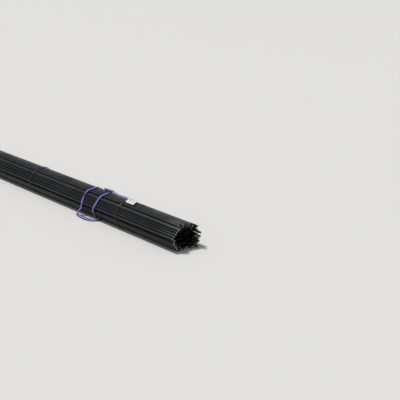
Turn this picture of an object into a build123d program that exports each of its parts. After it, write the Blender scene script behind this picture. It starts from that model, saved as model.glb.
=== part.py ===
"""Bundle of ribbed reinforcing bars, held by wire ties and choked in two webbing slings.

Millimetres. X runs along the bars, Z is up. The origin is on the ground, under the middle of the whole outline.
"""

import os
from math import cos, exp, pi, sin, sqrt

from build123d import *

# Bars, packed in staggered courses, each round drawn with a few flats of the same area
bar_diameter = 20.0
bar_length = 6000.0
bar_gap = 0.6
bar_sides = 12
courses = (9, 10, 11, 12, 13, 12, 13, 12, 11, 10, 9, 6)

# How the bars' ends stand out of line: a lean across the bundle, a deeply sunk core, a top course that lies
# back and a scatter
end_lean = 0.36
core_depth = 190.0
core_width = 96.0
core_height = 76.0
core_side = 8.0
crest_setback = 38.0
end_scatter = 11.0
scatter_step = 0.618034

# Wire ties
wire_diameter = 6.0
wire_sides = 8
tie_count = 5
tie_margin_near = 635.0
tie_margin_far = 445.0
twist_length = 55.0
twist_diameter = 11.0
twist_side = -34.0

# Slings, placed from the bars' ends
strap_width = 30.0
strap_thickness = 4.0
crest_margin = 892.0
front_lean = 70.0
return_spacing = 80.0
second_turn_step = 192.0
slack_out = 60.0
tail_side = 48.0
tail_setback = 8.0
tail_ramp = 25.0
eye_length = 125.0
eye_width = 46.0
eye_setback = 20.0

# Blank tags, each from the sling's free end down to the bars
tag_length = 112.0
tag_width = 66.0
tag_thickness = 1.5
tag_lap = 15.0
tag_side = 16.0

# Clearance between pieces that lie on each other, and how far crossing straps press together
seat_gap = 0.3
press = 0.4

# Derived sizes of the stack
bar_corner = bar_diameter / 2 * sqrt(2 * pi / (bar_sides * sin(2 * pi / bar_sides)))
bar_flat = bar_corner * cos(pi / bar_sides)
pitch = bar_diameter + bar_gap
course_rise = pitch * sqrt(3) / 2
first_height = wire_diameter + seat_gap + bar_corner
crest_height = first_height + (len(courses) - 1) * course_rise + bar_corner
half_height = crest_height / 2
half_width = (max(courses) - 1) / 2 * pitch + bar_corner
end_x = bar_length / 2

# The slings' slack lies out on the front, so the bundle stands back of the origin by half of what that adds
back_reach = half_width + seat_gap + max(wire_diameter, strap_thickness)
axis_y = (half_width + slack_out - back_reach) / 2


def course_centres(course):
    """Centres (y, z) of one course's bars."""
    count = courses[course]
    height = first_height + course * course_rise
    return [(axis_y + (i - (count - 1) / 2) * pitch, height) for i in range(count)]


def end_shift(course, y, z, number):
    """How far a bar is pushed along X from the bundle's middle."""
    side = y - axis_y
    away = ((side - core_side) / core_width) ** 2 + ((z - half_height) / core_height) ** 2
    back = crest_setback if course == len(courses) - 1 else 0
    scatter = (number * scatter_step) % 1 * 2 - 1
    return end_lean * side - core_depth * exp(-(away**2)) - back + end_scatter * scatter


def outline(ring):
    """Convex outline, as a face in Y and Z, round copies of ring on the bars at the ends of the courses."""
    ends = [course_centres(course)[i] for course in range(len(courses)) for i in (0, -1)]
    return make_hull([edge for y, z in ends for edge in (Pos(y, z) * ring).edges()])


# Every bar's centre and push, with the pushes levelled so that both ends reach equally far
bars = [course_centres(course) for course in range(len(courses))]
pushes = []
for course, centres in enumerate(bars):
    start = sum(courses[:course])
    pushes.append([end_shift(course, y, z, start + i) for i, (y, z) in enumerate(centres)])
furthest = max(max(row) for row in pushes)
nearest = min(min(row) for row in pushes)
level = (furthest + nearest) / 2

os.makedirs("parts", exist_ok=True)

# Bars, one node for each course
for course, centres in enumerate(bars):
    with BuildPart() as row:
        for (y, z), push in zip(centres, pushes[course]):
            with BuildSketch(Plane.YZ.offset(push - level - bar_length / 2)):
                with Locations((y, z)):
                    RegularPolygon(bar_corner, bar_sides, rotation=180 / bar_sides)
            extrude(amount=bar_length)
    name = f"bars_course_{course + 1:02d}"
    row.part.label = name
    export_step(row.part, f"parts/{name}.step")

# Wire ties, each bent round the outline and twisted shut on the crest, where its two ends meet
wire_flat = wire_diameter / 2
wire_corner = wire_flat / cos(pi / wire_sides)
wire_line = outline(Circle(bar_corner + seat_gap + wire_flat))
first_tie_x = end_x - tie_margin_near
tie_pitch = (bar_length - tie_margin_near - tie_margin_far) / (tie_count - 1)
for number in range(tie_count):
    plane = Plane.YZ.offset(first_tie_x - number * tie_pitch)
    around = (plane * wire_line).edges()
    crest_edge = around.sort_by(Axis.Z)[-1]
    shoulders = crest_edge.vertices().sort_by(Axis.Y)
    meeting = Vector(shoulders[0].X, axis_y + twist_side, shoulders[0].Z)
    with BuildPart() as tie:
        with BuildLine() as path:
            add([edge for edge in around if edge is not crest_edge])
            Line(shoulders[0].center(), meeting - (0, wire_flat / 4, 0))
            Line(shoulders[1].center(), meeting + (0, wire_flat / 4, 0))
        start = path.wire() @ 0
        along = path.wire() % 0
        with BuildSketch(Plane(origin=start, x_dir=(1, 0, 0), z_dir=along)):
            RegularPolygon(wire_corner, wire_sides, rotation=180 / wire_sides)
        sweep(path=path.wire())
        with BuildSketch(plane):
            with Locations((meeting.Y, crest_height + seat_gap + twist_diameter / 2)):
                RegularPolygon(twist_diameter / 2, wire_sides)
        extrude(amount=-twist_length)
    name = f"tie_{number + 1}"
    tie.part.label = name
    export_step(tie.part, f"parts/{name}.step")

# Slings. Each is one strap. From the eye on the crest it goes down the front, under, and slanting up the back
# to the crest again; then down the front to slack that lies on the ground, under, up the back, through the
# eye, and along the crest to its free end.
crest_x = end_x - crest_margin
foot_x = crest_x - front_lean
return_x = foot_x + return_spacing
second_x = crest_x - second_turn_step
bed = crest_height - bar_corner + bar_flat + seat_gap
top = bed + strap_thickness
lap = top - press
tail_x = first_tie_x - tail_setback


def strap_side(low_x, high_x, low):
    """Corners of a strap seen from the side, from low_x at the height low up to high_x above the crest."""
    half = strap_width / 2
    high = top + strap_thickness
    return [(low_x - half, low), (low_x + half, low), (high_x + half, high), (high_x - half, high)]


def strap_ring(reach):
    """Outline round one bar at a distance reach from its flats, with flats of its own."""
    return RegularPolygon(bar_flat + reach, bar_sides, major_radius=False, rotation=180 / bar_sides)


# All round the bars' flats, cut down to the straps' turns on the front and on the back
with BuildPart() as turns:
    with BuildSketch(Plane.YZ.offset(second_x - strap_width)):
        add(outline(strap_ring(seat_gap + strap_thickness)))
        add(outline(strap_ring(seat_gap)), mode=Mode.SUBTRACT)
    extrude(amount=second_turn_step + return_spacing + 2 * strap_width)

with BuildPart() as front:
    with BuildSketch(Plane.XZ.offset(-axis_y)):
        Polygon(*strap_side(foot_x, crest_x, 0), align=None)
        Polygon(*strap_side(second_x, second_x, half_height), align=None)
    extrude(amount=half_width + strap_width)

with BuildPart() as back:
    with BuildSketch(Plane.XZ.offset(-axis_y)):
        Polygon(*strap_side(foot_x, second_x, 0), align=None)
        Polygon(*strap_side(return_x, return_x, 0), align=None)
    extrude(amount=-half_width - strap_width)

# Places along the slack: the shares of its span, of slack_out and of half_height, and where it runs and faces
slack = [
    (-0.04, 0.17, 0.62, (-0.3, -0.1, -1), (1, -0.2, -0.3)),
    (-0.15, 0.38, 0.33, (-0.45, -0.2, -0.8), (0.85, -0.45, -0.4)),
    (-0.23, 0.62, 0.12, (-0.1, -0.15, -1), (0.35, -0.95, 0)),
    (-0.20, 0.69, 0, (0.55, -0.2, -0.7), (-0.1, -0.9, 0.2)),
    (-0.05, 0.79, 0, (1, -0.3, -0.1), (-0.1, -0.8, 0.35)),
    (0.19, 0.94, 0, (1, -0.12, 0), (-0.1, -0.8, 0.5)),
    (0.44, 1, 0, (1, 0.1, 0), (0.1, -0.7, 0.6)),
    (0.66, 0.8, 0, (0.9, 0.4, 0), (0.3, -0.7, 0.6)),
    (0.83, 0.45, 0, (0.7, 0.7, 0), (0.6, -0.7, 0.4)),
    (0.95, -0.13, 0, (0.4, 0.92, 0), (0.92, -0.4, 0.15)),
]
free_planes = []
for share, out, rise, run, width in slack:
    direction = Vector(*run).normalized()
    across = Vector(*width) - direction * direction.dot(Vector(*width))
    across = across.normalized()
    normal = direction.cross(across)
    to_edge = strap_width / 2 * abs(across.Y) + strap_thickness / 2 * abs(normal.Y)
    to_foot = strap_width / 2 * abs(across.Z) + strap_thickness / 2 * abs(normal.Z)
    x = second_x + share * (return_x - second_x)
    y = axis_y - half_width - out * slack_out + to_edge
    free_planes.append(Plane(origin=(x, y, rise * half_height + to_foot), x_dir=across, z_dir=direction))

# The slack's two ends lie inside the turns that they join
side_y = axis_y - half_width + bar_corner - bar_flat - seat_gap - strap_thickness / 2
under_z = first_height - bar_flat - seat_gap - strap_thickness / 2
under_y = axis_y - (courses[0] - 1) / 2 * pitch
leave = Plane(origin=(second_x, side_y, half_height + strap_thickness), x_dir=(1, 0, 0), z_dir=(0, 0, -1))
tuck = Plane(origin=(return_x, under_y, under_z), x_dir=(1, 0, 0), z_dir=(0, 1, 0))
joined = Plane(origin=(return_x, axis_y + strap_thickness, under_z), x_dir=(1, 0, 0), z_dir=(0, 1, 0))
with BuildPart() as loose:
    for plane in [leave, *free_planes, tuck, joined]:
        inset = 0 if plane in free_planes else 2 * press
        with BuildSketch(plane):
            Rectangle(strap_width - inset, strap_thickness - inset)
    loft(ruled=True)

# Side of the free end, from its lap over the turns down to the bars
tail_low = [
    (crest_x, lap),
    (return_x + strap_width / 2, lap),
    (return_x + strap_width / 2 + tail_ramp, bed),
    (tail_x, bed),
]
tail_high = [(x, z + strap_thickness) for x, z in reversed(tail_low)]

with BuildPart() as sling:
    add(turns.part)
    add(front.part + back.part, mode=Mode.INTERSECT)
    add(loose.part)
    with BuildSketch(Plane.XZ.offset(-axis_y - tail_side - strap_width / 2)):
        Polygon(*tail_low, *tail_high, align=None)
    extrude(amount=strap_width)
    with BuildSketch(Plane.XY.offset(lap)):
        with Locations((crest_x - eye_setback, axis_y + tail_side)):
            SlotOverall(eye_length, eye_width)
    extrude(amount=2 * strap_thickness)
for name, solid in (("near", sling.part), ("far", mirror(sling.part, about=Plane.YZ))):
    solid.label = f"sling_{name}"
    export_step(solid, f"parts/sling_{name}.step")

# Tags. Each lies on its sling's free end and down to the bars, the near one over a wire tie on the way.
tag_start = tail_x - tag_lap
wire_top = crest_height + wire_diameter + 2 * seat_gap
strap_middle = bed + strap_thickness / 2


def tag_side_on(rise):
    """Corners of a tag seen from the side, with its underside at the height rise beside the strap's end."""
    low = [
        (tag_start, top + seat_gap),
        (tail_x, top + seat_gap),
        (first_tie_x - wire_flat, rise),
        (first_tie_x + wire_flat, rise),
        (tag_start + tag_length, bed),
    ]
    return low + [(x, z + tag_thickness) for x, z in reversed(low)]


for name, rise in (("near", wire_top), ("far", strap_middle)):
    with BuildPart() as tag:
        with BuildSketch(Plane.XZ.offset(-axis_y - tag_side - tag_width / 2)):
            Polygon(*tag_side_on(rise), align=None)
        extrude(amount=tag_width)
        if name == "far":
            mirror(about=Plane.YZ, mode=Mode.REPLACE)
    tag.part.label = f"tag_{name}"
    export_step(tag.part, f"parts/tag_{name}.step")
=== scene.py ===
"""Looks of the bundle of ribbed reinforcing bars, its wire ties, its two webbing slings and their tags.

Metres. X runs along the bars, Z is up, and the bundle's axis stands back of the origin in Y.
"""

import bpy
import numpy as np
from mathutils import Matrix, Vector


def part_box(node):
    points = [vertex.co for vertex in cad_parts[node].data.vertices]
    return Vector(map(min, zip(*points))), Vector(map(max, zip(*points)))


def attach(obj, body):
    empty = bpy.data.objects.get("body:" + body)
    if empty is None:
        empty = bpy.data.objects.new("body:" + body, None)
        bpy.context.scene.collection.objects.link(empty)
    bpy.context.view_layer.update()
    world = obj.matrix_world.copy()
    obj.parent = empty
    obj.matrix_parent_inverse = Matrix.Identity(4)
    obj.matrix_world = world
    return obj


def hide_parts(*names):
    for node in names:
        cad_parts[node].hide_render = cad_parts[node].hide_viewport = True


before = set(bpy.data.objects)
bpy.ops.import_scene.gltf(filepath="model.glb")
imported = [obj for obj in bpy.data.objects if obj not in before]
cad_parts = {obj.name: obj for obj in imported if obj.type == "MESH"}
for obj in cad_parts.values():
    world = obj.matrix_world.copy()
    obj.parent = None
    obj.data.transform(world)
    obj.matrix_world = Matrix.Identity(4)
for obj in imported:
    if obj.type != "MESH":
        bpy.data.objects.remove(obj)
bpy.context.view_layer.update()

# The view. The camera stands where the photograph was taken, a little above head height, and looks down along
# the bundle, so that its far end runs out of the picture on the left.
scene = bpy.context.scene
low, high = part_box("bars_course_01")
axis_y = (low[1] + high[1]) / 2
camera_place = Vector((6.1790, -3.4901 + axis_y, 2.3683))
view_right = Vector((0.75568, 0.65467, 0.01893))
view_up = Vector((-0.26294, 0.27679, 0.92426))
view_back = Vector((0.59984, -0.70342, 0.38130))

camera_data = bpy.data.cameras.new("camera")
camera_data.lens = 57.57
camera_data.sensor_width = 36.0
camera_data.sensor_fit = "HORIZONTAL"
camera = bpy.data.objects.new("camera", camera_data)
camera.matrix_world = Matrix((view_right, view_up, view_back)).transposed().to_4x4()
camera.matrix_world.translation = camera_place
scene.collection.objects.link(camera)
scene.camera = camera

# The studio. An even pale sky, a soft lamp that stands nearly overhead and a little to the camera's left,
# and a pale floor.
floor_size = 90.0
floor_colour = (0.72, 0.71, 0.69, 1)


def new_material(name):
    """Material with its node tree and its shader, ready for nodes."""
    material = bpy.data.materials.new(name)
    material.use_nodes = True
    tree = material.node_tree
    return material, tree, tree.nodes["Principled BSDF"]


scene.view_settings.view_transform = "Standard"
world = bpy.data.worlds.new("sky")
scene.world = world
world.use_nodes = True
sky = world.node_tree.nodes["Background"]
sky.inputs["Color"].default_value = (0.95, 0.97, 1.0, 1)
sky.inputs["Strength"].default_value = 0.34

lamp_data = bpy.data.lights.new("soft_lamp", "SUN")
lamp_data.energy = 2.5
lamp_data.angle = 0.14
lamp = bpy.data.objects.new("soft_lamp", lamp_data)
lamp.rotation_euler = (0.16, -0.36, 0)
scene.collection.objects.link(lamp)

floor_mesh = bpy.data.meshes.new("floor")
corners = [(-1, -1), (1, -1), (1, 1), (-1, 1)]
corners = [(x * floor_size / 2, y * floor_size / 2, 0) for x, y in corners]
floor_mesh.from_pydata(corners, [], [(0, 1, 2, 3)])
floor = bpy.data.objects.new("floor", floor_mesh)
floor_finish, tree, shader = new_material("pale_floor")
shader.inputs["Base Color"].default_value = floor_colour
shader.inputs["Roughness"].default_value = 0.9
floor_mesh.materials.append(floor_finish)
scene.collection.objects.link(floor)

# Ribbed bars. Hot-rolled steel bars of 20 mm, each with two thin ribs along it and two rows of slanting
# crescent ribs, black with mill scale and sheared off at both ends.
bar_pitch = 0.0206
bar_core = 0.0096
bar_crest = 0.0109
bar_sides = 16
core_angles = (0, 8, 35, 62, 90, 118, 145, 172)
shear_length = 0.004
shear_draw = 0.86
bar_wander = 0.0007
rib_spacing = 0.0125
rib_slant = 0.0092
rib_half_width = 0.0021
rib_sink = 0.0006
rib_margin = 0.014
rib_angles = (14, 52, 90, 128, 166)
rib_heights = (-0.3, 0.8, 1, 0.8, -0.3)

# Bars inside the bundle have fewer rings, ribs near their ends only, and ends less bright, as painted
# shade in the bundle's hollow
outer_rings = 33
inner_rings = 13
inner_ribs = 0.16
inner_cut_shaded = 0.25

# Random draws for a bar's sway: two depths of wave, then twice how close the waves are and where they start
sway_draws = ((-1, 1, 2), (1, 3, 1), (0, 6, 1), (1, 3, 1), (0, 6, 1))

# Painted highlight, put on through the dust, on the two crest bars that lie furthest from the camera,
# counted from that side: the glancing sky reflection along the crest
crest_highlight = {1: 24.0, 2: 3.0}

scale_dark = (0.004, 0.0044, 0.005, 1)
scale_light = (0.058, 0.061, 0.066, 1)
bar_rust = (0.062, 0.036, 0.024, 1)
# Colour of the dust, and of the painted highlight on the far crest bars
bar_dust_and_highlight = (0.36, 0.355, 0.345, 1)
# Painted shade, near black, for the gaps between bars
gap_shade_black = (0.003, 0.003, 0.0033, 1)
cut_grey = (0.24, 0.24, 0.235, 1)
paint_red = (0.12, 0.012, 0.018, 1)

# Marking paint: its middle, how ragged it is, and how far out it ends and is full
dab_place = (2.428, -0.119 + axis_y, 0.158)
dab_ragged = 0.02
dab_end = 0.027
dab_full = 0.023

courses = sorted(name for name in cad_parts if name.startswith("bars_course"))
rng = np.random.default_rng(20)


def make_piece(name, points, faces, smooth=True, marks=None):
    """Mesh object from an array of points and a list of arrays of faces, each array with its own number of
    corners. smooth is one choice for all, or one for each array of faces. marks gives attributes: a name
    and, for each point, a row of four numbers."""
    mesh = bpy.data.meshes.new(name)
    mesh.vertices.add(len(points))
    mesh.vertices.foreach_set("co", points.astype(np.float32).ravel())
    around = np.concatenate([np.full(len(block), block.shape[1]) for block in faces])
    corners = np.concatenate([block.ravel() for block in faces])
    mesh.loops.add(len(corners))
    mesh.loops.foreach_set("vertex_index", corners.astype(np.int32))
    mesh.polygons.add(len(around))
    mesh.polygons.foreach_set("loop_start", (np.cumsum(around) - around).astype(np.int32))
    smooth = np.repeat(np.broadcast_to(smooth, len(faces)), [len(block) for block in faces])
    mesh.polygons.foreach_set("use_smooth", smooth)
    for label, rows in (marks or {}).items():
        layer = mesh.attributes.new(label, "FLOAT_COLOR", "POINT")
        layer.data.foreach_set("color", rows.astype(np.float32).ravel())
    mesh.update(calc_edges=True)
    piece = bpy.data.objects.new(name, mesh)
    scene.collection.objects.link(piece)
    return piece


def tube_faces(rings, sides, closed=False):
    """Quads between rings of points, outwards where the points go round as the right hand's fingers do about
    the way from ring to ring. An open tube gets one face of all its sides at each end."""
    ring = np.arange(rings if closed else rings - 1)[:, None]
    side = np.arange(sides)[None, :]
    after = (ring + 1) % rings
    beside = (side + 1) % sides
    quads = [ring * sides + side, ring * sides + beside, after * sides + beside, after * sides + side]
    faces = [np.stack(np.broadcast_arrays(*quads), axis=-1).reshape(-1, 4)]
    if not closed:
        start = np.arange(sides)[::-1]
        faces.append(np.stack([start, np.arange(sides) + (rings - 1) * sides]))
    return faces


def bars_of(node):
    """Each bar of a course as (y, z, first x, last x), read from where the course's own points lie."""
    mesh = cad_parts[node].data
    points = np.empty(len(mesh.vertices) * 3, dtype=np.float32)
    mesh.vertices.foreach_get("co", points)
    points = points.reshape(-1, 3)
    low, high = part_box(node)
    radius = (high[2] - low[2]) / 2
    count = round((high[1] - low[1] - 2 * radius) / bar_pitch) + 1
    found = []
    for y in np.linspace(low[1] + radius, high[1] - radius, count):
        own = points[np.abs(points[:, 1] - y) < bar_pitch / 2, 0]
        found.append((y, (low[2] + high[2]) / 2, own.min(), own.max()))
    return found


def bar_surface(bar, turn, sway, rings):
    """Core of a bar as rings of points along it, 16 round each, with two that stand out as the thin ribs. Its
    line sways by two slow sine waves, one in y and one in z, and its ends are drawn in by the shears."""
    y, z, start, end = bar
    angles = np.radians(core_angles)
    angles = np.concatenate([angles, angles + np.pi]) + turn
    radii = np.full(bar_sides, bar_core)
    radii[[0, bar_sides // 2]] = bar_crest
    x = np.concatenate([[start], np.linspace(start + shear_length, end - shear_length, rings), [end]])
    shrink = np.ones(rings + 2)
    shrink[[0, -1]] = shear_draw
    slant = np.zeros(rings + 2)
    slant[[0, -1]] = shear_length / 2
    side = sway[0] * np.sin(x * sway[2] + sway[3]) * bar_wander
    rise = sway[1] * np.sin(x * sway[4] + sway[5]) * bar_wander
    points = np.empty((rings + 2, bar_sides, 3))
    points[..., 0] = x[:, None] + slant[:, None] * np.cos(angles)
    points[..., 1] = y + side[:, None] + shrink[:, None] * radii * np.cos(angles)
    points[..., 2] = z + rise[:, None] + shrink[:, None] * radii * np.sin(angles)
    return points, (x, side, rise)


def crescent_ribs(bar, turn, line, middles):
    """Crescent ribs in two rows on a bar, eleven points each: a tip under the core's surface, three stations
    of a foot, a crest and a foot, and the other tip. A rib slants evenly along the bar as it goes round."""
    y, z = bar[:2]
    station = np.array([0, 1, 1, 1, 2, 2, 2, 3, 3, 3, 4])
    flank = np.array([0, -1, 0, 1, -1, 0, 1, -1, 0, 1, 0])
    height = np.array(rib_heights)[station] * (bar_crest - bar_core)
    radius = np.where(flank == 0, bar_core + height, bar_core - rib_sink)
    along = (station - 2) / 2 * rib_slant
    width = flank * rib_half_width
    x, side, rise = line
    rows = []
    for row, lean in ((0, -1), (1, 1)):
        angle = np.radians(rib_angles)[station] + turn + row * np.pi
        middle = middles + row * rib_spacing / 2
        block = np.empty((len(middle), len(station), 3))
        block[..., 0] = middle[:, None] + lean * along + width
        block[..., 1] = y + np.interp(middle, x, side)[:, None] + radius * np.cos(angle)
        block[..., 2] = z + np.interp(middle, x, rise)[:, None] + radius * np.sin(angle)
        rows.append(block)
    return np.concatenate(rows)


# Faces of one rib by its own eleven points: both flanks and the underside, with three triangles at each tip
rib_quads = np.array([[1, 4, 5, 2], [2, 5, 6, 3], [3, 6, 4, 1], [4, 7, 8, 5], [5, 8, 9, 6], [6, 9, 7, 4]])
rib_tips = np.array([[0, 1, 2], [0, 2, 3], [0, 3, 1], [7, 10, 8], [8, 10, 9], [9, 10, 7]])

# The bars' attribute of wear and painted light holds a bar's tone and its dust, which on the two far crest
# bars is a painted highlight, how bright the shears' cut is, lower on inner bars as painted shade, and how
# far a point faces away from the bundle's middle, from -1 to 1, which paints shade into the gaps between bars
bars = [bars_of(node) for node in courses]
bundle_middle = np.array([axis_y, (bars[0][0][1] + bars[-1][0][1]) / 2])
bar_pieces = []
for course, found in enumerate(bars):
    top_course = course == len(bars) - 1
    outermost = {0, len(found) - 1}
    if course == 0 or top_course:
        outermost = set(range(len(found)))
    elif len(found) - len(bars[course + 1]) > 2:
        outermost |= {1, len(found) - 2}
    points, wear_and_painted_light, faces = [], [], []
    base = 0
    for place, bar in enumerate(found):
        turn = rng.uniform(0, 2 * np.pi)
        sway = np.concatenate([rng.uniform(*draw) for draw in sway_draws])
        tone, dust = rng.uniform(0, 1, 2)
        # The two far crest bars carry a painted highlight through their dust
        if top_course:
            dust = crest_highlight.get(len(found) - place, dust)
        outer = place in outermost
        core, line = bar_surface(bar, turn, sway, outer_rings if outer else inner_rings)
        middles = np.arange(bar[2] + rib_margin, bar[3] - rib_margin - rib_spacing / 2, rib_spacing)
        if not outer:
            middles = middles[(middles < bar[2] + inner_ribs) | (middles > bar[3] - inner_ribs)]
        ribs = crescent_ribs(bar, turn, line, middles)
        first_rib = base + core.shape[0] * bar_sides + np.arange(len(ribs))[:, None, None] * ribs.shape[1]
        faces += [block + base for block in tube_faces(len(core), bar_sides)]
        faces += [(rib_quads + first_rib).reshape(-1, 4), (rib_tips + first_rib).reshape(-1, 3)]
        # Bare steel at the cut ends, painted duller on inner bars as shade in the hollow
        cut = np.zeros(core.shape[:2])
        cut[[0, -1]] = 1 if outer else inner_cut_shaded
        cut = np.concatenate([cut.ravel(), np.zeros(ribs.shape[0] * ribs.shape[1])])
        own = np.concatenate([core.reshape(-1, 3), ribs.reshape(-1, 3)])
        # How far a point faces out of the bundle, for the painted shade in the gaps between bars
        outward = np.array(bar[:2]) - bundle_middle
        around = own[:, 1:] - np.array(bar[:2])
        out_of_gap_shade = around @ outward / np.linalg.norm(around, axis=1) / (np.linalg.norm(outward) + 1e-6)
        points.append(own)
        wear_and_painted_light.append(np.stack([np.full(len(cut), tone), np.full(len(cut), dust), cut, out_of_gap_shade], axis=-1))
        base += len(cut)
    smooth = np.tile([True, False, False, False], len(found))
    marks = {"wear_and_painted_light": np.concatenate(wear_and_painted_light)}
    piece = make_piece(f"ribbed_{courses[course]}", np.concatenate(points), faces, smooth, marks)
    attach(piece, "root")
    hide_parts(courses[course])
    bar_pieces.append(piece)


def put(tree, kind, inputs=(), **settings):
    """Node of a kind with its settings, and each named or numbered input set to a value or linked."""
    made = tree.nodes.new(kind)
    for name, value in settings.items():
        setattr(made, name, value)
    for key, value in dict(inputs).items():
        if isinstance(value, bpy.types.NodeSocket):
            tree.links.new(value, made.inputs[key])
        else:
            made.inputs[key].default_value = value
    return made


def maths(tree, operation, *values):
    """Socket with the outcome of one sum on numbers or sockets."""
    return put(tree, "ShaderNodeMath", dict(enumerate(values)), operation=operation).outputs[0]


def blended(tree, share, first, second):
    """Socket with one colour passing into another by a share from 0 to 1."""
    return put(tree, "ShaderNodeMix", {0: share, 6: first, 7: second}, data_type="RGBA").outputs[2]


def ranged(tree, value, start, end, least=0.0):
    """Socket that goes from least to 1, and no further, while a value goes from start to end."""
    return put(tree, "ShaderNodeMapRange", {0: value, 1: start, 2: end, 3: least}).outputs[0]


def noise(tree, place, scale, detail=2.0, roughness=0.5):
    """Socket with noise from 0 to 1 at a place."""
    inputs = {"Vector": place, "Scale": scale, "Detail": detail, "Roughness": roughness}
    return put(tree, "ShaderNodeTexNoise", inputs).outputs[0]


def raise_relief(tree, shader, height, strength, depth):
    """Fine relief on a shader's surface from a height, to a depth in metres."""
    relief = put(tree, "ShaderNodeBump", {"Height": height, "Strength": strength, "Distance": depth})
    tree.links.new(relief.outputs[0], shader.inputs["Normal"])


def new_effect(name, inputs):
    """Shader node group with named number inputs and one output, Mask, and its two end nodes."""
    group = bpy.data.node_groups.new(name, "ShaderNodeTree")
    for label, value in inputs.items():
        socket = group.interface.new_socket(label, in_out="INPUT", socket_type="NodeSocketFloat")
        socket.default_value = value
    group.interface.new_socket("Mask", in_out="OUTPUT", socket_type="NodeSocketFloat")
    return group, group.nodes.new("NodeGroupInput"), group.nodes.new("NodeGroupOutput")


# Dust settles on what faces up, in uneven patches
dust_effect, given, result = new_effect("settled_dust", {"Amount": 0.5, "Scale": 8.0})
place = put(dust_effect, "ShaderNodeTexCoord").outputs["Object"]
facing = put(dust_effect, "ShaderNodeNewGeometry").outputs["Normal"]
upward = put(dust_effect, "ShaderNodeSeparateXYZ", {0: facing}).outputs["Z"]
upward = ranged(dust_effect, upward, 0.35, 1.0)
patches = noise(dust_effect, place, given.outputs["Scale"], 6.0)
patches = ranged(dust_effect, patches, 0.3, 0.7, 0.15)
settled = maths(dust_effect, "MULTIPLY", upward, patches)
settled = maths(dust_effect, "MULTIPLY", settled, given.outputs["Amount"])
settled = put(dust_effect, "ShaderNodeClamp", {0: settled}).outputs[0]
dust_effect.links.new(settled, result.inputs["Mask"])

# Rust breaks out in blotches, each with a ragged edge
rust_effect, given, result = new_effect("rust_blotches", {"Spread": 0.5, "Scale": 6.0})
place = put(rust_effect, "ShaderNodeTexCoord").outputs["Object"]
blotches = noise(rust_effect, place, given.outputs["Scale"], 9.0, 0.7)
edge = maths(rust_effect, "SUBTRACT", 1.0, given.outputs["Spread"])
blotches = maths(rust_effect, "MULTIPLY", maths(rust_effect, "SUBTRACT", blotches, edge), 7.0)
blotches = put(rust_effect, "ShaderNodeClamp", {0: blotches}).outputs[0]
rust_effect.links.new(blotches, result.inputs["Mask"])

# Mill scale: black oxide with a dull sheen, lighter on some bars than on others, dusty on top, with a
# painted highlight along the two far crest bars, a little rust, painted shade in the gaps between bars,
# bare grey steel where the shears cut, duller on inner bars as painted shade, and one dab of dark red paint
steel, tree, shader = new_material("mill_scale")
wear_and_painted_light = put(tree, "ShaderNodeAttribute", attribute_name="wear_and_painted_light", attribute_type="GEOMETRY")
out_of_gap_shade = ranged(tree, wear_and_painted_light.outputs["Alpha"], 0.2, 0.92)
wear_and_painted_light = put(tree, "ShaderNodeSeparateColor", {0: wear_and_painted_light.outputs["Color"]})
tone, dust_and_highlight, cut = wear_and_painted_light.outputs[0], wear_and_painted_light.outputs[1], wear_and_painted_light.outputs[2]
place = put(tree, "ShaderNodeTexCoord").outputs["Object"]
stretch = put(tree, "ShaderNodeMapping", {"Vector": place, "Scale": (3.0, 60.0, 60.0)}).outputs[0]
streaks = noise(tree, stretch, 1.0, 4.0)
shade = maths(tree, "MULTIPLY", maths(tree, "POWER", tone, 2.0), 0.8)
shade = maths(tree, "ADD", shade, maths(tree, "MULTIPLY", streaks, 0.35))
colour = blended(tree, shade, scale_dark, scale_light)
rust = put(tree, "ShaderNodeGroup", {"Spread": 0.40, "Scale": 7.0}, node_tree=rust_effect).outputs[0]
colour = blended(tree, maths(tree, "MULTIPLY", rust, 0.4), colour, bar_rust)
# Dust, with a painted highlight in its colour on the two far crest bars
amount = maths(tree, "MULTIPLY", dust_and_highlight, 0.15)
dust = put(tree, "ShaderNodeGroup", {"Scale": 5.0, "Amount": amount}, node_tree=dust_effect).outputs[0]
colour = blended(tree, dust, colour, bar_dust_and_highlight)
# Painted shade: the gaps between bars blended towards near black
colour = blended(tree, out_of_gap_shade, gap_shade_black, colour)
colour = blended(tree, maths(tree, "MULTIPLY", cut, 0.75), colour, cut_grey)
distance = put(tree, "ShaderNodeVectorMath", {0: place, 1: dab_place}, operation="DISTANCE").outputs["Value"]
ragged = maths(tree, "MULTIPLY", noise(tree, place, 90.0), dab_ragged)
dab = ranged(tree, maths(tree, "ADD", distance, ragged), dab_end, dab_full)
colour = blended(tree, maths(tree, "MULTIPLY", dab, 0.8), colour, paint_red)
tree.links.new(colour, shader.inputs["Base Color"])
rough = maths(tree, "ADD", 0.36, maths(tree, "MULTIPLY", dust, 0.45))
rough = maths(tree, "ADD", rough, maths(tree, "MULTIPLY", rust, 0.2))
tree.links.new(rough, shader.inputs["Roughness"])
shader.inputs["Metallic"].default_value = 0.35
shader.inputs["Specular IOR Level"].default_value = 0.28
raise_relief(tree, shader, noise(tree, place, 520.0, 3.0), 0.2, 0.0007)
for piece in bar_pieces:
    piece.data.materials.append(steel)

# Wire ties. Soft steel wire rod of 6 mm, bent once round the whole bundle, its two ends brought together on
# the crest and twisted over each other with a bar, then pressed flat along the bundle.
wire_radius = 0.0029
rod_half = 0.003
wire_gap = 0.0003
wire_spacing = 0.002
wire_wander = 0.0012
twist_side = -0.034
twist_height = 0.011
twist_radius = 0.0027
twist_turns = 2.6
twist_rows = 60
twist_start = 0.009
twist_room = 0.012
flare_start = 0.86
flare_reach = 0.003
bar_radius = 0.0102335
wire_grey = (0.085, 0.086, 0.088, 1)
wire_rust = (0.085, 0.058, 0.042, 1)
wire_dust = (0.26, 0.255, 0.245, 1)

course_ends = np.array([bar[:2] for found in bars for bar in (found[0], found[-1])])
crest_z = course_ends[:, 1].max()


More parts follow.
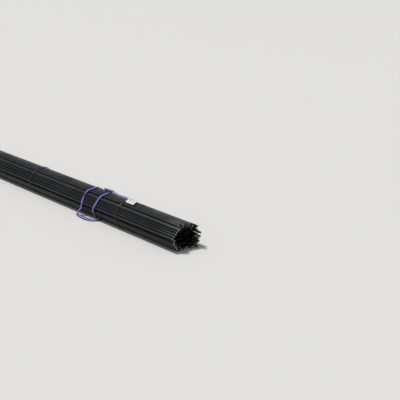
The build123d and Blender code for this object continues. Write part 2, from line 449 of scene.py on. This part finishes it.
def along_line(points, spacing):
    """Points, or rows of any numbers that start with x, y and z, spaced evenly along the line they make."""
    steps = np.linalg.norm(np.diff(points[:, :3], axis=0), axis=1)
    points = points[np.concatenate([[True], steps > 1e-9])]
    length = np.concatenate([[0], np.cumsum(steps[steps > 1e-9])])
    even = np.linspace(0, length[-1], round(length[-1] / spacing) + 1)
    return np.stack([np.interp(even, length, column) for column in points.T], axis=-1)


def eased(rows, reach):
    """Rows smoothed by the average over as many neighbours to each side as reach says, done twice, with the
    ends kept where they are."""
    kernel = np.ones(2 * reach + 1) / (2 * reach + 1)
    for _ in (0, 1):
        first = 2 * rows[:1] - rows[1 : reach + 1][::-1]
        last = 2 * rows[-1:] - rows[-reach - 1 : -1][::-1]
        padded = np.concatenate([first, rows, last])
        rows = np.stack([np.convolve(column, kernel, "valid") for column in padded.T], axis=-1)
    return rows


def round_bundle(reach, start_y):
    """Convex line once round the bundle, from start_y on the crest down the front, under and up the back. In
    each direction it lies as far as reach from the centre of the course-end bar that is furthest that way.
    Rows of x = 0, y, z and the direction outwards."""
    turn = np.radians(np.arange(90, 450.5, 1.5))
    outward = np.stack([np.cos(turn), np.sin(turn)], axis=-1)
    line = course_ends[np.argmax(course_ends @ outward.T, axis=0)] + reach * outward
    crest = [[start_y, crest_z + reach, 0, 1]]
    rows = np.concatenate([crest, np.concatenate([line, outward], axis=1), crest])
    rows = np.insert(rows, 0, 0, axis=1)
    return np.insert(rows, 3, 0, axis=1)


def tie_line(tie_x, meeting, twist_z, twist_length, number):
    """Rows along a tie's wire: in along one strand of its twist, once round the bundle, where x goes through
    three small sine waves, and out along the other strand. The strands are helices about one axis, half a
    turn apart, that spread evenly at their ends."""
    loop = round_bundle(bar_radius + wire_gap + rod_half, meeting)
    loop[:, 0] = tie_x + wire_wander * np.sin(np.linspace(0, 2 * np.pi, len(loop)) * 3 + number)
    loop = loop[(np.abs(loop[:, 1] - meeting) > twist_room) | (loop[:, 2] < crest_z)]
    share = np.linspace(0, 1, twist_rows)
    spin = share * twist_turns * 2 * np.pi
    flare = twist_radius + flare_reach * np.clip(share - flare_start, 0, 1) / (1 - flare_start)
    strands = []
    for half in (0, np.pi):
        strand = np.zeros((len(share), 6))
        strand[:, 0] = tie_x - twist_start - share * (twist_length - twist_start)
        strand[:, 1] = meeting + flare * np.cos(spin + half)
        strand[:, 2] = twist_z + flare * np.sin(spin + half)
        strand[:, 4] = -np.sin(spin)
        strand[:, 5] = np.cos(spin)
        strands.append(strand)
    return np.concatenate([strands[1][::-1], loop, strands[0]])


def swept(rows, profile, closed=False):
    """Rings of points of profiles (a, b), one for all rows or one for each, along rows of place and width
    direction: a goes along the width, made square to the way forward, and b along forward x width."""
    place, across = rows[:, :3], rows[:, 3:6]
    if closed:
        forward = np.gradient(np.concatenate([place[-2:], place, place[:2]]), axis=0)[2:-2]
    else:
        forward = np.gradient(place, axis=0)
    forward /= np.linalg.norm(forward, axis=1)[:, None]
    across = across - forward * (across * forward).sum(1)[:, None]
    across /= np.linalg.norm(across, axis=1)[:, None]
    outward = np.cross(forward, across)
    return place[:, None] + profile[..., :1] * across[:, None] + profile[..., 1:] * outward[:, None]


# Dull drawn wire, grey with rust and dust
wire, tree, shader = new_material("wire_rod")
place = put(tree, "ShaderNodeTexCoord").outputs["Object"]
rust = put(tree, "ShaderNodeGroup", {"Spread": 0.42, "Scale": 14.0}, node_tree=rust_effect).outputs[0]
colour = blended(tree, rust, wire_grey, wire_rust)
dust = put(tree, "ShaderNodeGroup", {"Scale": 11.0, "Amount": 0.35}, node_tree=dust_effect).outputs[0]
colour = blended(tree, dust, colour, wire_dust)
tree.links.new(colour, shader.inputs["Base Color"])
rough = maths(tree, "ADD", 0.42, maths(tree, "MULTIPLY", rust, 0.3))
tree.links.new(rough, shader.inputs["Roughness"])
shader.inputs["Metallic"].default_value = 0.4
raise_relief(tree, shader, noise(tree, place, 600.0), 0.3, 0.0006)

around = np.radians(np.arange(0, 360, 45))
wire_profile = wire_radius * np.stack([np.cos(around), np.sin(around)], axis=-1)
ties = sorted(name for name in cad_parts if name.startswith("tie_"))
for number, node in enumerate(ties):
    low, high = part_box(node)
    twist_length = high[0] - low[0] - rod_half
    rows = tie_line(high[0] - rod_half, axis_y + twist_side, high[2] - twist_height / 2, twist_length, number)
    rings = swept(eased(along_line(rows, wire_spacing), 2), wire_profile[None])
    piece = make_piece(f"wire_{node}", rings.reshape(-1, 3), tube_faces(len(rings), len(wire_profile)))
    piece.data.materials.append(wire)
    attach(piece, "root")
    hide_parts(node)

# Slings. Flat polyester webbing 30 mm wide, woven in the violet that stands for one tonne, with an eye sewn
# at each end. Each is choked twice round the bundle, with its first eye on the crest, slack that lies on the
# ground in front, and its free eye along the crest.
strap_half = 0.015
strap_thick = 0.0038
strap_spacing = 0.004
strap_reach = 0.0122
strap_wander = 0.0015
wander_rate = 9
strap_narrowing = 0.05
narrowing_rate = 7
past_eye_room = 0.001
lap_height = 0.004
front_lean = 0.070
return_spacing = 0.080
second_turn_step = 0.192
slack_out = 0.060
tail_side = 0.048
neck_length = 0.07
neck_thickening = 0.5

# The eye that chokes: its length, width and band, how its band leans outwards away from its end, the rise
# where the strap passes under it at an angle round it, and how steeply it droops beyond a distance in y
eye_to_end = 0.249
eye_rows = 90
eye_sides = 12
eye_setback = 0.020
eye_half_length = 0.060
eye_half_width = 0.0125
eye_band = 0.018
eye_thick = 0.0052
eye_lean = 0.95
eye_lean_spread = 0.55
eye_lift = 0.0045
eye_lift_angle = 1.05
eye_lift_spread = 0.5
eye_droop = 0.35
eye_droop_from = 0.055

# The free eye: narrow at its neck, a little wider at its end, with its band turning only below the first and
# above the second of two shares of its length
free_bends = (0.02, 0.9)
free_eye_rows = 110
free_eye_length = 0.15
free_eye_inset = 0.007
free_half_width = 0.0075
free_widening = 0.0012
free_lift = 0.0012
free_band = 0.0145

# Fading of the tail, back from the strap's end, and painted shade on the second leg's shoulder, by height
fade_from = 0.27
fade_length = 0.16
shoulder_z = 0.192
shoulder_reach = 0.022
shoulder_shade_depth = 0.9
leg_slack = 0.012

# Waves of the weave in radians, its ribs over half the strap's width and its picks and stitches over a metre,
# and the place of each seam as a share of half the width
rib_rate = 58.0
pick_rate = 2900.0
stitch_rate = 950.0
seam_at = 0.72

violet = (0.29, 0.225, 0.62, 1)
violet_worn = (0.40, 0.36, 0.60, 1)
violet_faded = (0.31, 0.295, 0.38, 1)
# Painted shade on the strap's edges and on the second leg's shoulder
violet_shade = (0.022, 0.010, 0.11, 1)
stitch_violet = (0.30, 0.26, 0.55, 1)
strap_soil = (0.23, 0.20, 0.17, 1)

half_height = (crest_z + bar_radius) / 2
half_width = axis_y - course_ends[:, 0].min() + bar_radius
strap_top = crest_z + strap_reach + strap_thick / 2
under_y = course_ends[0, 0]

# Places along the slack, as shares: along from the second turn to the return, out from the front,
# and up; then the way that the strap runs there, and the way that its width lies
slack = np.array([
    (-0.04, 0.17, 0.62, -0.3, -0.1, -1, 1, -0.2, -0.3),
    (-0.15, 0.38, 0.33, -0.45, -0.2, -0.8, 0.9, -0.4, -0.3),
    (-0.23, 0.62, 0.12, -0.1, -0.15, -1, 0.6, -0.8, -0.1),
    (-0.20, 0.69, 0, 0.55, -0.2, -0.7, -0.1, -0.95, -0.1),
    (-0.05, 0.79, 0, 1, -0.3, -0.1, 0, -0.85, -0.4),
    (0.19, 0.94, 0, 1, -0.12, 0, 0, -0.75, -0.6),
    (0.44, 1, 0, 1, 0.1, 0, 0, -0.7, -0.65),
    (0.66, 0.8, 0, 0.9, 0.4, 0, 0.3, -0.75, -0.4),
    (0.83, 0.45, 0, 0.7, 0.7, 0, 0.6, -0.7, -0.1),
    (0.95, -0.13, 0, 0.4, 0.92, 0, 0.92, -0.4, 0.15),
])


def unit(vectors):
    """Each row made one long."""
    return vectors / np.linalg.norm(vectors, axis=-1)[..., None]


def powered(values, power):
    """The size of each value to a power, with the value's own sign."""
    return np.sign(values) * np.abs(values) ** power


def slack_rows(second_x, return_x):
    """Places and widths along the slack. Each place is the strap's middle, as far in from its outermost edge
    and up from its lowest as half the strap's width and thickness reach that way."""
    run = unit(slack[:, 3:6])
    across = slack[:, 6:9]
    across = unit(across - run * (run * across).sum(1)[:, None])
    outward = np.cross(run, across)
    reach = strap_half * np.abs(across) + strap_thick / 2 * np.abs(outward)
    rows = np.empty((len(slack), 6))
    rows[:, 0] = second_x + slack[:, 0] * (return_x - second_x)
    rows[:, 1] = axis_y - half_width - slack[:, 1] * slack_out + reach[:, 1]
    rows[:, 2] = slack[:, 2] * half_height + reach[:, 2]
    rows[:, 3:] = across
    return rows


def leg(rows, low_x, high_x):
    """A turn's rows with x in line with the height, from low_x on the ground to high_x on the crest, and with
    the strap's width along X."""
    placed = np.zeros((len(rows), 6))
    placed[:, 0] = low_x + (high_x - low_x) * rows[:, 2] / strap_top
    placed[:, 1:3] = rows[:, 1:3]
    placed[:, 3] = 1
    return placed


def sling_route(tail_x):
    """The strap's rows of place and width from its first eye to its free eye, as it lies. Its fold through
    the first eye goes by listed places and widths."""
    crest_x = tail_x - eye_to_end
    foot_x = crest_x - front_lean
    return_x = foot_x + return_spacing
    second_x = crest_x - second_turn_step
    turn = along_line(round_bundle(strap_reach, axis_y), strap_spacing)
    half_way = np.argmax(turn[:, 1] > axis_y + 1e-6)
    front, back = turn[:half_way], turn[half_way:]
    first_front = round_bundle(strap_reach, axis_y + tail_side - eye_half_width)
    first_front = along_line(first_front, strap_spacing)
    first_front = first_front[: np.argmax(first_front[:, 2] < first_front[:, 2].min() + 1e-4)]
    rising = turn[np.argmax((turn[:, 2] < bar_radius * 2) & (turn[:, 1] > under_y)) :]
    past_eye = rising[:, 1] > axis_y + tail_side + strap_half + past_eye_room
    rising = rising[(rising[:, 2] < crest_z) | past_eye]
    bed = crest_z + strap_reach
    lap = bed + lap_height
    fold = np.array([
        (return_x + 0.002, axis_y + 0.052, lap - 0.001, 1, 0.3, 0.3),
        (return_x + 0.011, axis_y + 0.043, lap + 0.004, 0.75, 0.7, 0.5),
        (return_x + 0.030, axis_y + 0.041, lap + 0.006, 0.3, 0.95, 0.4),
        (return_x + 0.055, axis_y + 0.045, lap + 0.003, 0, 1, 0.15),
        (return_x + 0.085, axis_y + tail_side, bed, 0, 1, 0),
        (tail_x - free_eye_length + 0.012, axis_y + tail_side, bed, 0, 1, 0),
    ])
    return np.concatenate([
        leg(first_front, foot_x, crest_x),
        leg(back, foot_x, second_x),
        leg(front[front[:, 2] > half_height], second_x, second_x),
        eased(along_line(slack_rows(second_x, return_x), strap_spacing), 5),
        leg(rising, return_x, return_x),
        eased(along_line(fold, strap_spacing), 3),
    ])


def flat_section(half, thick, points=16):
    """Section of webbing, a superellipse: its width by cosine to the power 0.5, its height by sine to 0.8."""
    turn = (np.arange(points) + 0.5) * 2 * np.pi / points
    return np.stack([half * powered(np.cos(turn), 0.5), thick / 2 * powered(np.sin(turn), 0.8)], axis=-1)


def choking_eye(crest_x):
    """Rows round the eye that the strap passes through: an oval on the crest, with y by sine to the power
    0.8. Its band leans outwards by a bell curve's rest, least at the end that the strap leaves by, and rises
    by another bell curve where the strap passes under it."""
    turn = np.linspace(0, 2 * np.pi, eye_rows, endpoint=False)
    off_end = (turn + np.pi) % (2 * np.pi) - np.pi
    lean = eye_lean * (1 - np.exp(-((off_end / eye_lean_spread) ** 2)))
    lift = eye_lift * np.exp(-(((turn - eye_lift_angle) / eye_lift_spread) ** 2))
    rows = np.empty((len(turn), 6))
    rows[:, 0] = crest_x - eye_setback + eye_half_length * np.cos(turn)
    rows[:, 1] = axis_y + tail_side + eye_half_width * powered(np.sin(turn), 0.8)
    droop = eye_droop * np.clip(rows[:, 1] - axis_y - eye_droop_from, 0, 1)
    rows[:, 2] = crest_z + bar_radius + eye_thick / 2 + eye_band / 2 * np.sin(lean) + lift - droop
    rows[:, 3] = np.cos(turn) * np.cos(lean)
    rows[:, 4] = np.sin(turn) * np.cos(lean)
    rows[:, 5] = np.sin(lean)
    return rows


def free_eye(tail_x):
    """Rows round the eye at the free end: flat on the crest, with y by sine to the power 0.4, a little wider
    at its end and a little higher half way. Its width turns with it only round its two ends."""
    turn = np.linspace(0, 2 * np.pi, free_eye_rows, endpoint=False)
    share = (1 + np.cos(turn)) / 2
    half = free_half_width + free_widening * share
    rows = np.zeros((len(turn), 6))
    rows[:, 0] = tail_x - free_eye_length + (free_eye_length - free_eye_inset) * share
    rows[:, 1] = axis_y + tail_side + half * powered(np.sin(turn), 0.4)
    rows[:, 2] = crest_z + bar_radius + eye_thick / 2 + free_lift * np.sin(share * np.pi)
    rows[:, 3] = np.cos(turn) * ((share < free_bends[0]) | (share > free_bends[1]))
    rows[:, 4] = np.sin(turn)
    return rows


# The strap's attribute of weave and painted shade holds the place across the strap from -1 to 1, the metres
# along it, how faded it is, and how much painted shade darkens it
webbing, tree, shader = new_material("violet_webbing")
weave_and_shade = put(tree, "ShaderNodeAttribute", attribute_name="weave_and_shade", attribute_type="GEOMETRY")
leg_shade = weave_and_shade.outputs["Alpha"]
weave_and_shade = put(tree, "ShaderNodeSeparateXYZ", {0: weave_and_shade.outputs["Vector"]})
across, along, faded = weave_and_shade.outputs[0], weave_and_shade.outputs[1], weave_and_shade.outputs[2]
off_middle = maths(tree, "ABSOLUTE", across)
place = put(tree, "ShaderNodeTexCoord").outputs["Object"]
worn = ranged(tree, noise(tree, place, 26.0, 5.0), 0.42, 0.72)
colour = blended(tree, maths(tree, "MULTIPLY", worn, 0.45), violet, violet_worn)
colour = blended(tree, maths(tree, "MULTIPLY", faded, 0.7), colour, violet_faded)
# Painted shade: the strap darker towards its edges than in its middle, less where it is faded
edge_shade = ranged(tree, off_middle, 0.16, 0.62)
edge_shade = maths(tree, "MULTIPLY", edge_shade, maths(tree, "SUBTRACT", 1.0, maths(tree, "MULTIPLY", faded, 0.7)))
colour = blended(tree, maths(tree, "MAXIMUM", edge_shade, leg_shade), colour, violet_shade)

# The weave is ribs along the strap by picks across it, and a row of stitches runs near each edge
rib_waves = maths(tree, "SINE", maths(tree, "MULTIPLY", across, rib_rate))
pick_waves = maths(tree, "SINE", maths(tree, "MULTIPLY", along, pick_rate))
cloth = maths(tree, "MULTIPLY", rib_waves, pick_waves)
cloth = maths(tree, "ADD", cloth, maths(tree, "MULTIPLY", rib_waves, 0.6))
from_seam = maths(tree, "ABSOLUTE", maths(tree, "SUBTRACT", off_middle, seam_at))
stitch = maths(tree, "SINE", maths(tree, "MULTIPLY", along, stitch_rate))
stitch = maths(tree, "GREATER_THAN", stitch, -0.3)
stitch = maths(tree, "MULTIPLY", ranged(tree, from_seam, 0.06, 0.035), stitch)
colour = blended(tree, maths(tree, "MULTIPLY", stitch, 0.3), colour, stitch_violet)

# Soil from the ground, most of it on the lowest 50 mm
soil = put(tree, "ShaderNodeSeparateXYZ", {0: place}).outputs[2]
soil = ranged(tree, soil, 0.05, 0.0)
soil = maths(tree, "MULTIPLY", maths(tree, "ADD", soil, 0.12), worn)
colour = blended(tree, maths(tree, "MULTIPLY", soil, 0.7), colour, strap_soil)
tree.links.new(colour, shader.inputs["Base Color"])
shader.inputs["Roughness"].default_value = 0.78
shader.inputs["Specular IOR Level"].default_value = 0.25
shader.inputs["Sheen Weight"].default_value = 0.04
shader.inputs["Sheen Roughness"].default_value = 0.5
raise_relief(tree, shader, maths(tree, "ADD", cloth, maths(tree, "MULTIPLY", stitch, 2.0)), 0.6, 0.0004)

for number, (node, side) in enumerate({"sling_near": 1, "sling_far": -1}.items()):
    low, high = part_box(node)
    tail_x = max(abs(low[0]), abs(high[0]))
    crest_x = tail_x - eye_to_end
    route = eased(along_line(sling_route(tail_x), strap_spacing), 1)
    way = np.arange(len(route)) * strap_spacing
    route[:, 0] += strap_wander * np.sin(way * wander_rate + 2 * number)
    narrowed = strap_narrowing * (1 + np.sin(way * narrowing_rate + number)) * (way > neck_length)
    half = strap_half * (1 - narrowed)
    doubled = 1 + neck_thickening * ((way < neck_length) | (way > way[-1] - neck_length))
    section = flat_section(1, 1)
    sections = [half[:, None] * section[:, 0], strap_thick * doubled[:, None] * section[:, 1]]
    sections = np.stack(sections, axis=-1)
    tail = np.clip((way - way[-1] + fade_from) / fade_length, 0, 1)
    # Painted shade on the second leg's shoulder, by height
    second_leg = np.abs(route[:, 0] - crest_x + second_turn_step) < leg_slack
    second_leg &= route[:, 1] < axis_y
    off_shoulder = (route[:, 2] - shoulder_z) / shoulder_reach
    shoulder_shade = second_leg * shoulder_shade_depth * np.exp(-(off_shoulder**4))
    eye_section = flat_section(eye_band / 2, eye_thick, eye_sides)[None]
    free_section = flat_section(free_band / 2, eye_thick, eye_sides)[None]
    parts = [
        (route, sections, False, tail, shoulder_shade),
        (choking_eye(crest_x), eye_section, True, 0.0, 0.0),
        (free_eye(tail_x), free_section, True, 1.0, 0.0),
    ]
    points, weaves, faces = [], [], []
    base = 0
    for rows, profile, closed, fade, shade_share in parts:
        rings = swept(rows * (side, 1, 1, side, 1, 1), profile, closed)
        woven = np.zeros(rings.shape[:2] + (4,))
        woven[..., 0] = profile[..., 0] / np.abs(profile[..., 0]).max()
        woven[..., 1] = (np.arange(len(rings)) * strap_spacing)[:, None]
        woven[..., 2] = np.broadcast_to(fade, len(rings))[:, None]
        woven[..., 3] = np.broadcast_to(shade_share, len(rings))[:, None]
        points.append(rings.reshape(-1, 3))
        weaves.append(woven.reshape(-1, 4))
        faces += [block + base for block in tube_faces(*rings.shape[:2], closed)]
        base += rings.shape[0] * rings.shape[1]
    marks = {"weave_and_shade": np.concatenate(weaves)}
    piece = make_piece(f"webbing_{node}", np.concatenate(points), faces, marks=marks)
    piece.data.materials.append(webbing)
    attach(piece, "root")
    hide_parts(node)

# Tags. A blank white sleeve of thin plastic on each sling's free eye, crumpled into three pleats that lie
# askew over the wire and the top bars.
tag_rows = 60
tag_columns = 36
tag_thick = 0.0009
tag_inset = 0.006
tag_share = 0.92
tag_skew = 0.030
tag_skew_middle = 0.75
tag_widen = 0.009
tag_far_widen = 0.0261
tag_clear = 0.0012
tag_droop = 0.004
droop_from = 0.84
pleat_count = 2.75
pleat_slant = 0.16
pleat_height = 0.010
pleat_edge = 0.55
crumple_height = 0.004
valley_share = 0.1
crease_rise = 1.4
wire_rise = 0.0064
wire_rise_end = 0.016
wire_rise_length = 0.012
near_tie_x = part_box("tie_1")[1][0] - rod_half
# Painted shade in the tag's valleys
tag_valley_shade = (0.60, 0.60, 0.62, 1)
tag_white = (0.86, 0.86, 0.86, 1)
tag_soil = (0.45, 0.43, 0.40, 1)


def tag_surface(low, high, number):
    """Grid of a tag's points, and how high its pleats are at each, by u along it and v across it. The pleats
    are a raised cosine of u that slants with v. They are highest half way across, and the tag spreads at
    their feet. Two squared sines of u and v crumple it. It lies on the bars, and higher by a ramp before the
    wire's far side, and its far edge droops by a square."""
    start = min(abs(low[0]), abs(high[0]))
    u, v = np.meshgrid(np.linspace(0, 1, tag_rows), np.linspace(0, 1, tag_columns), indexing="ij")
    phase = 2 * np.pi * pleat_count * (u + pleat_slant * (v - 0.5)) + 0.5 * number
    pleat = 0.5 - 0.5 * np.cos(phase)
    crumple = 0.3 * np.sin(9 * u + 7 * v + number) ** 2 + 0.3 * np.sin(5 * u - 8 * v + 2) ** 2
    x = start + tag_inset + (high[0] - low[0]) * (u * tag_share) + tag_skew * (tag_skew_middle - v)
    spread = tag_widen * (1 - pleat) * (1 - 2 * v)
    y = low[1] - tag_widen + (high[1] - low[1] + tag_far_widen) * v + spread
    ramp = np.clip((near_tie_x + wire_rise_end - x) / wire_rise_length, 0, 1)
    droop = tag_droop * np.clip((v - droop_from) / (1 - droop_from), 0, 1) ** 2
    z = crest_z + bar_radius + tag_clear + wire_rise * ramp + crumple_height * crumple - droop
    z += pleat_height * pleat * (pleat_edge + (1 - pleat_edge) * np.sin(np.pi * v))
    return np.stack([x, y, z], axis=-1), pleat


# White film with painted shade in the valleys between pleats, which the attribute "crease" tells from the
# pleats, and a little soil
film, tree, shader = new_material("white_tag")
out_of_valley_shade = put(tree, "ShaderNodeAttribute", attribute_name="crease", attribute_type="GEOMETRY")
out_of_valley_shade = put(tree, "ShaderNodeSeparateXYZ", {0: out_of_valley_shade.outputs["Vector"]}).outputs[0]
place = put(tree, "ShaderNodeTexCoord").outputs["Object"]
soil = ranged(tree, noise(tree, place, 60.0, 6.0), 0.5, 0.75)
colour = blended(tree, out_of_valley_shade, tag_valley_shade, tag_white)
colour = blended(tree, maths(tree, "MULTIPLY", soil, 0.2), colour, tag_soil)
tree.links.new(colour, shader.inputs["Base Color"])
shader.inputs["Roughness"].default_value = 0.42
raise_relief(tree, shader, noise(tree, place, 160.0, 4.0), 0.5, 0.0015)

for number, (node, side) in enumerate({"tag_near": 1, "tag_far": -1}.items()):
    points, pleat = tag_surface(*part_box(node), number)
    points = points.reshape(-1, 3) * (side, 1, 1)
    step = np.arange(tag_rows - 1)[:, None] * tag_columns + np.arange(tag_columns - 1)[None]
    quads = np.stack([step, step + tag_columns, step + tag_columns + 1, step + 1], axis=-1).reshape(-1, 4)
    if side < 0:
        quads = quads[:, ::-1]
    marks = np.zeros((len(points), 4))
    # Painted shade in the valleys: low there, rising to 1 up the pleats
    marks[:, 0] = np.clip(valley_share + crease_rise * pleat, 0, 1).ravel()
    piece = make_piece(f"sleeve_{node}", points, [quads], marks={"crease": marks})
    solid = piece.modifiers.new("film", "SOLIDIFY")
    solid.thickness = tag_thick
    solid.offset = 1
    piece.data.materials.append(film)
    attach(piece, "root")
    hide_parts(node)
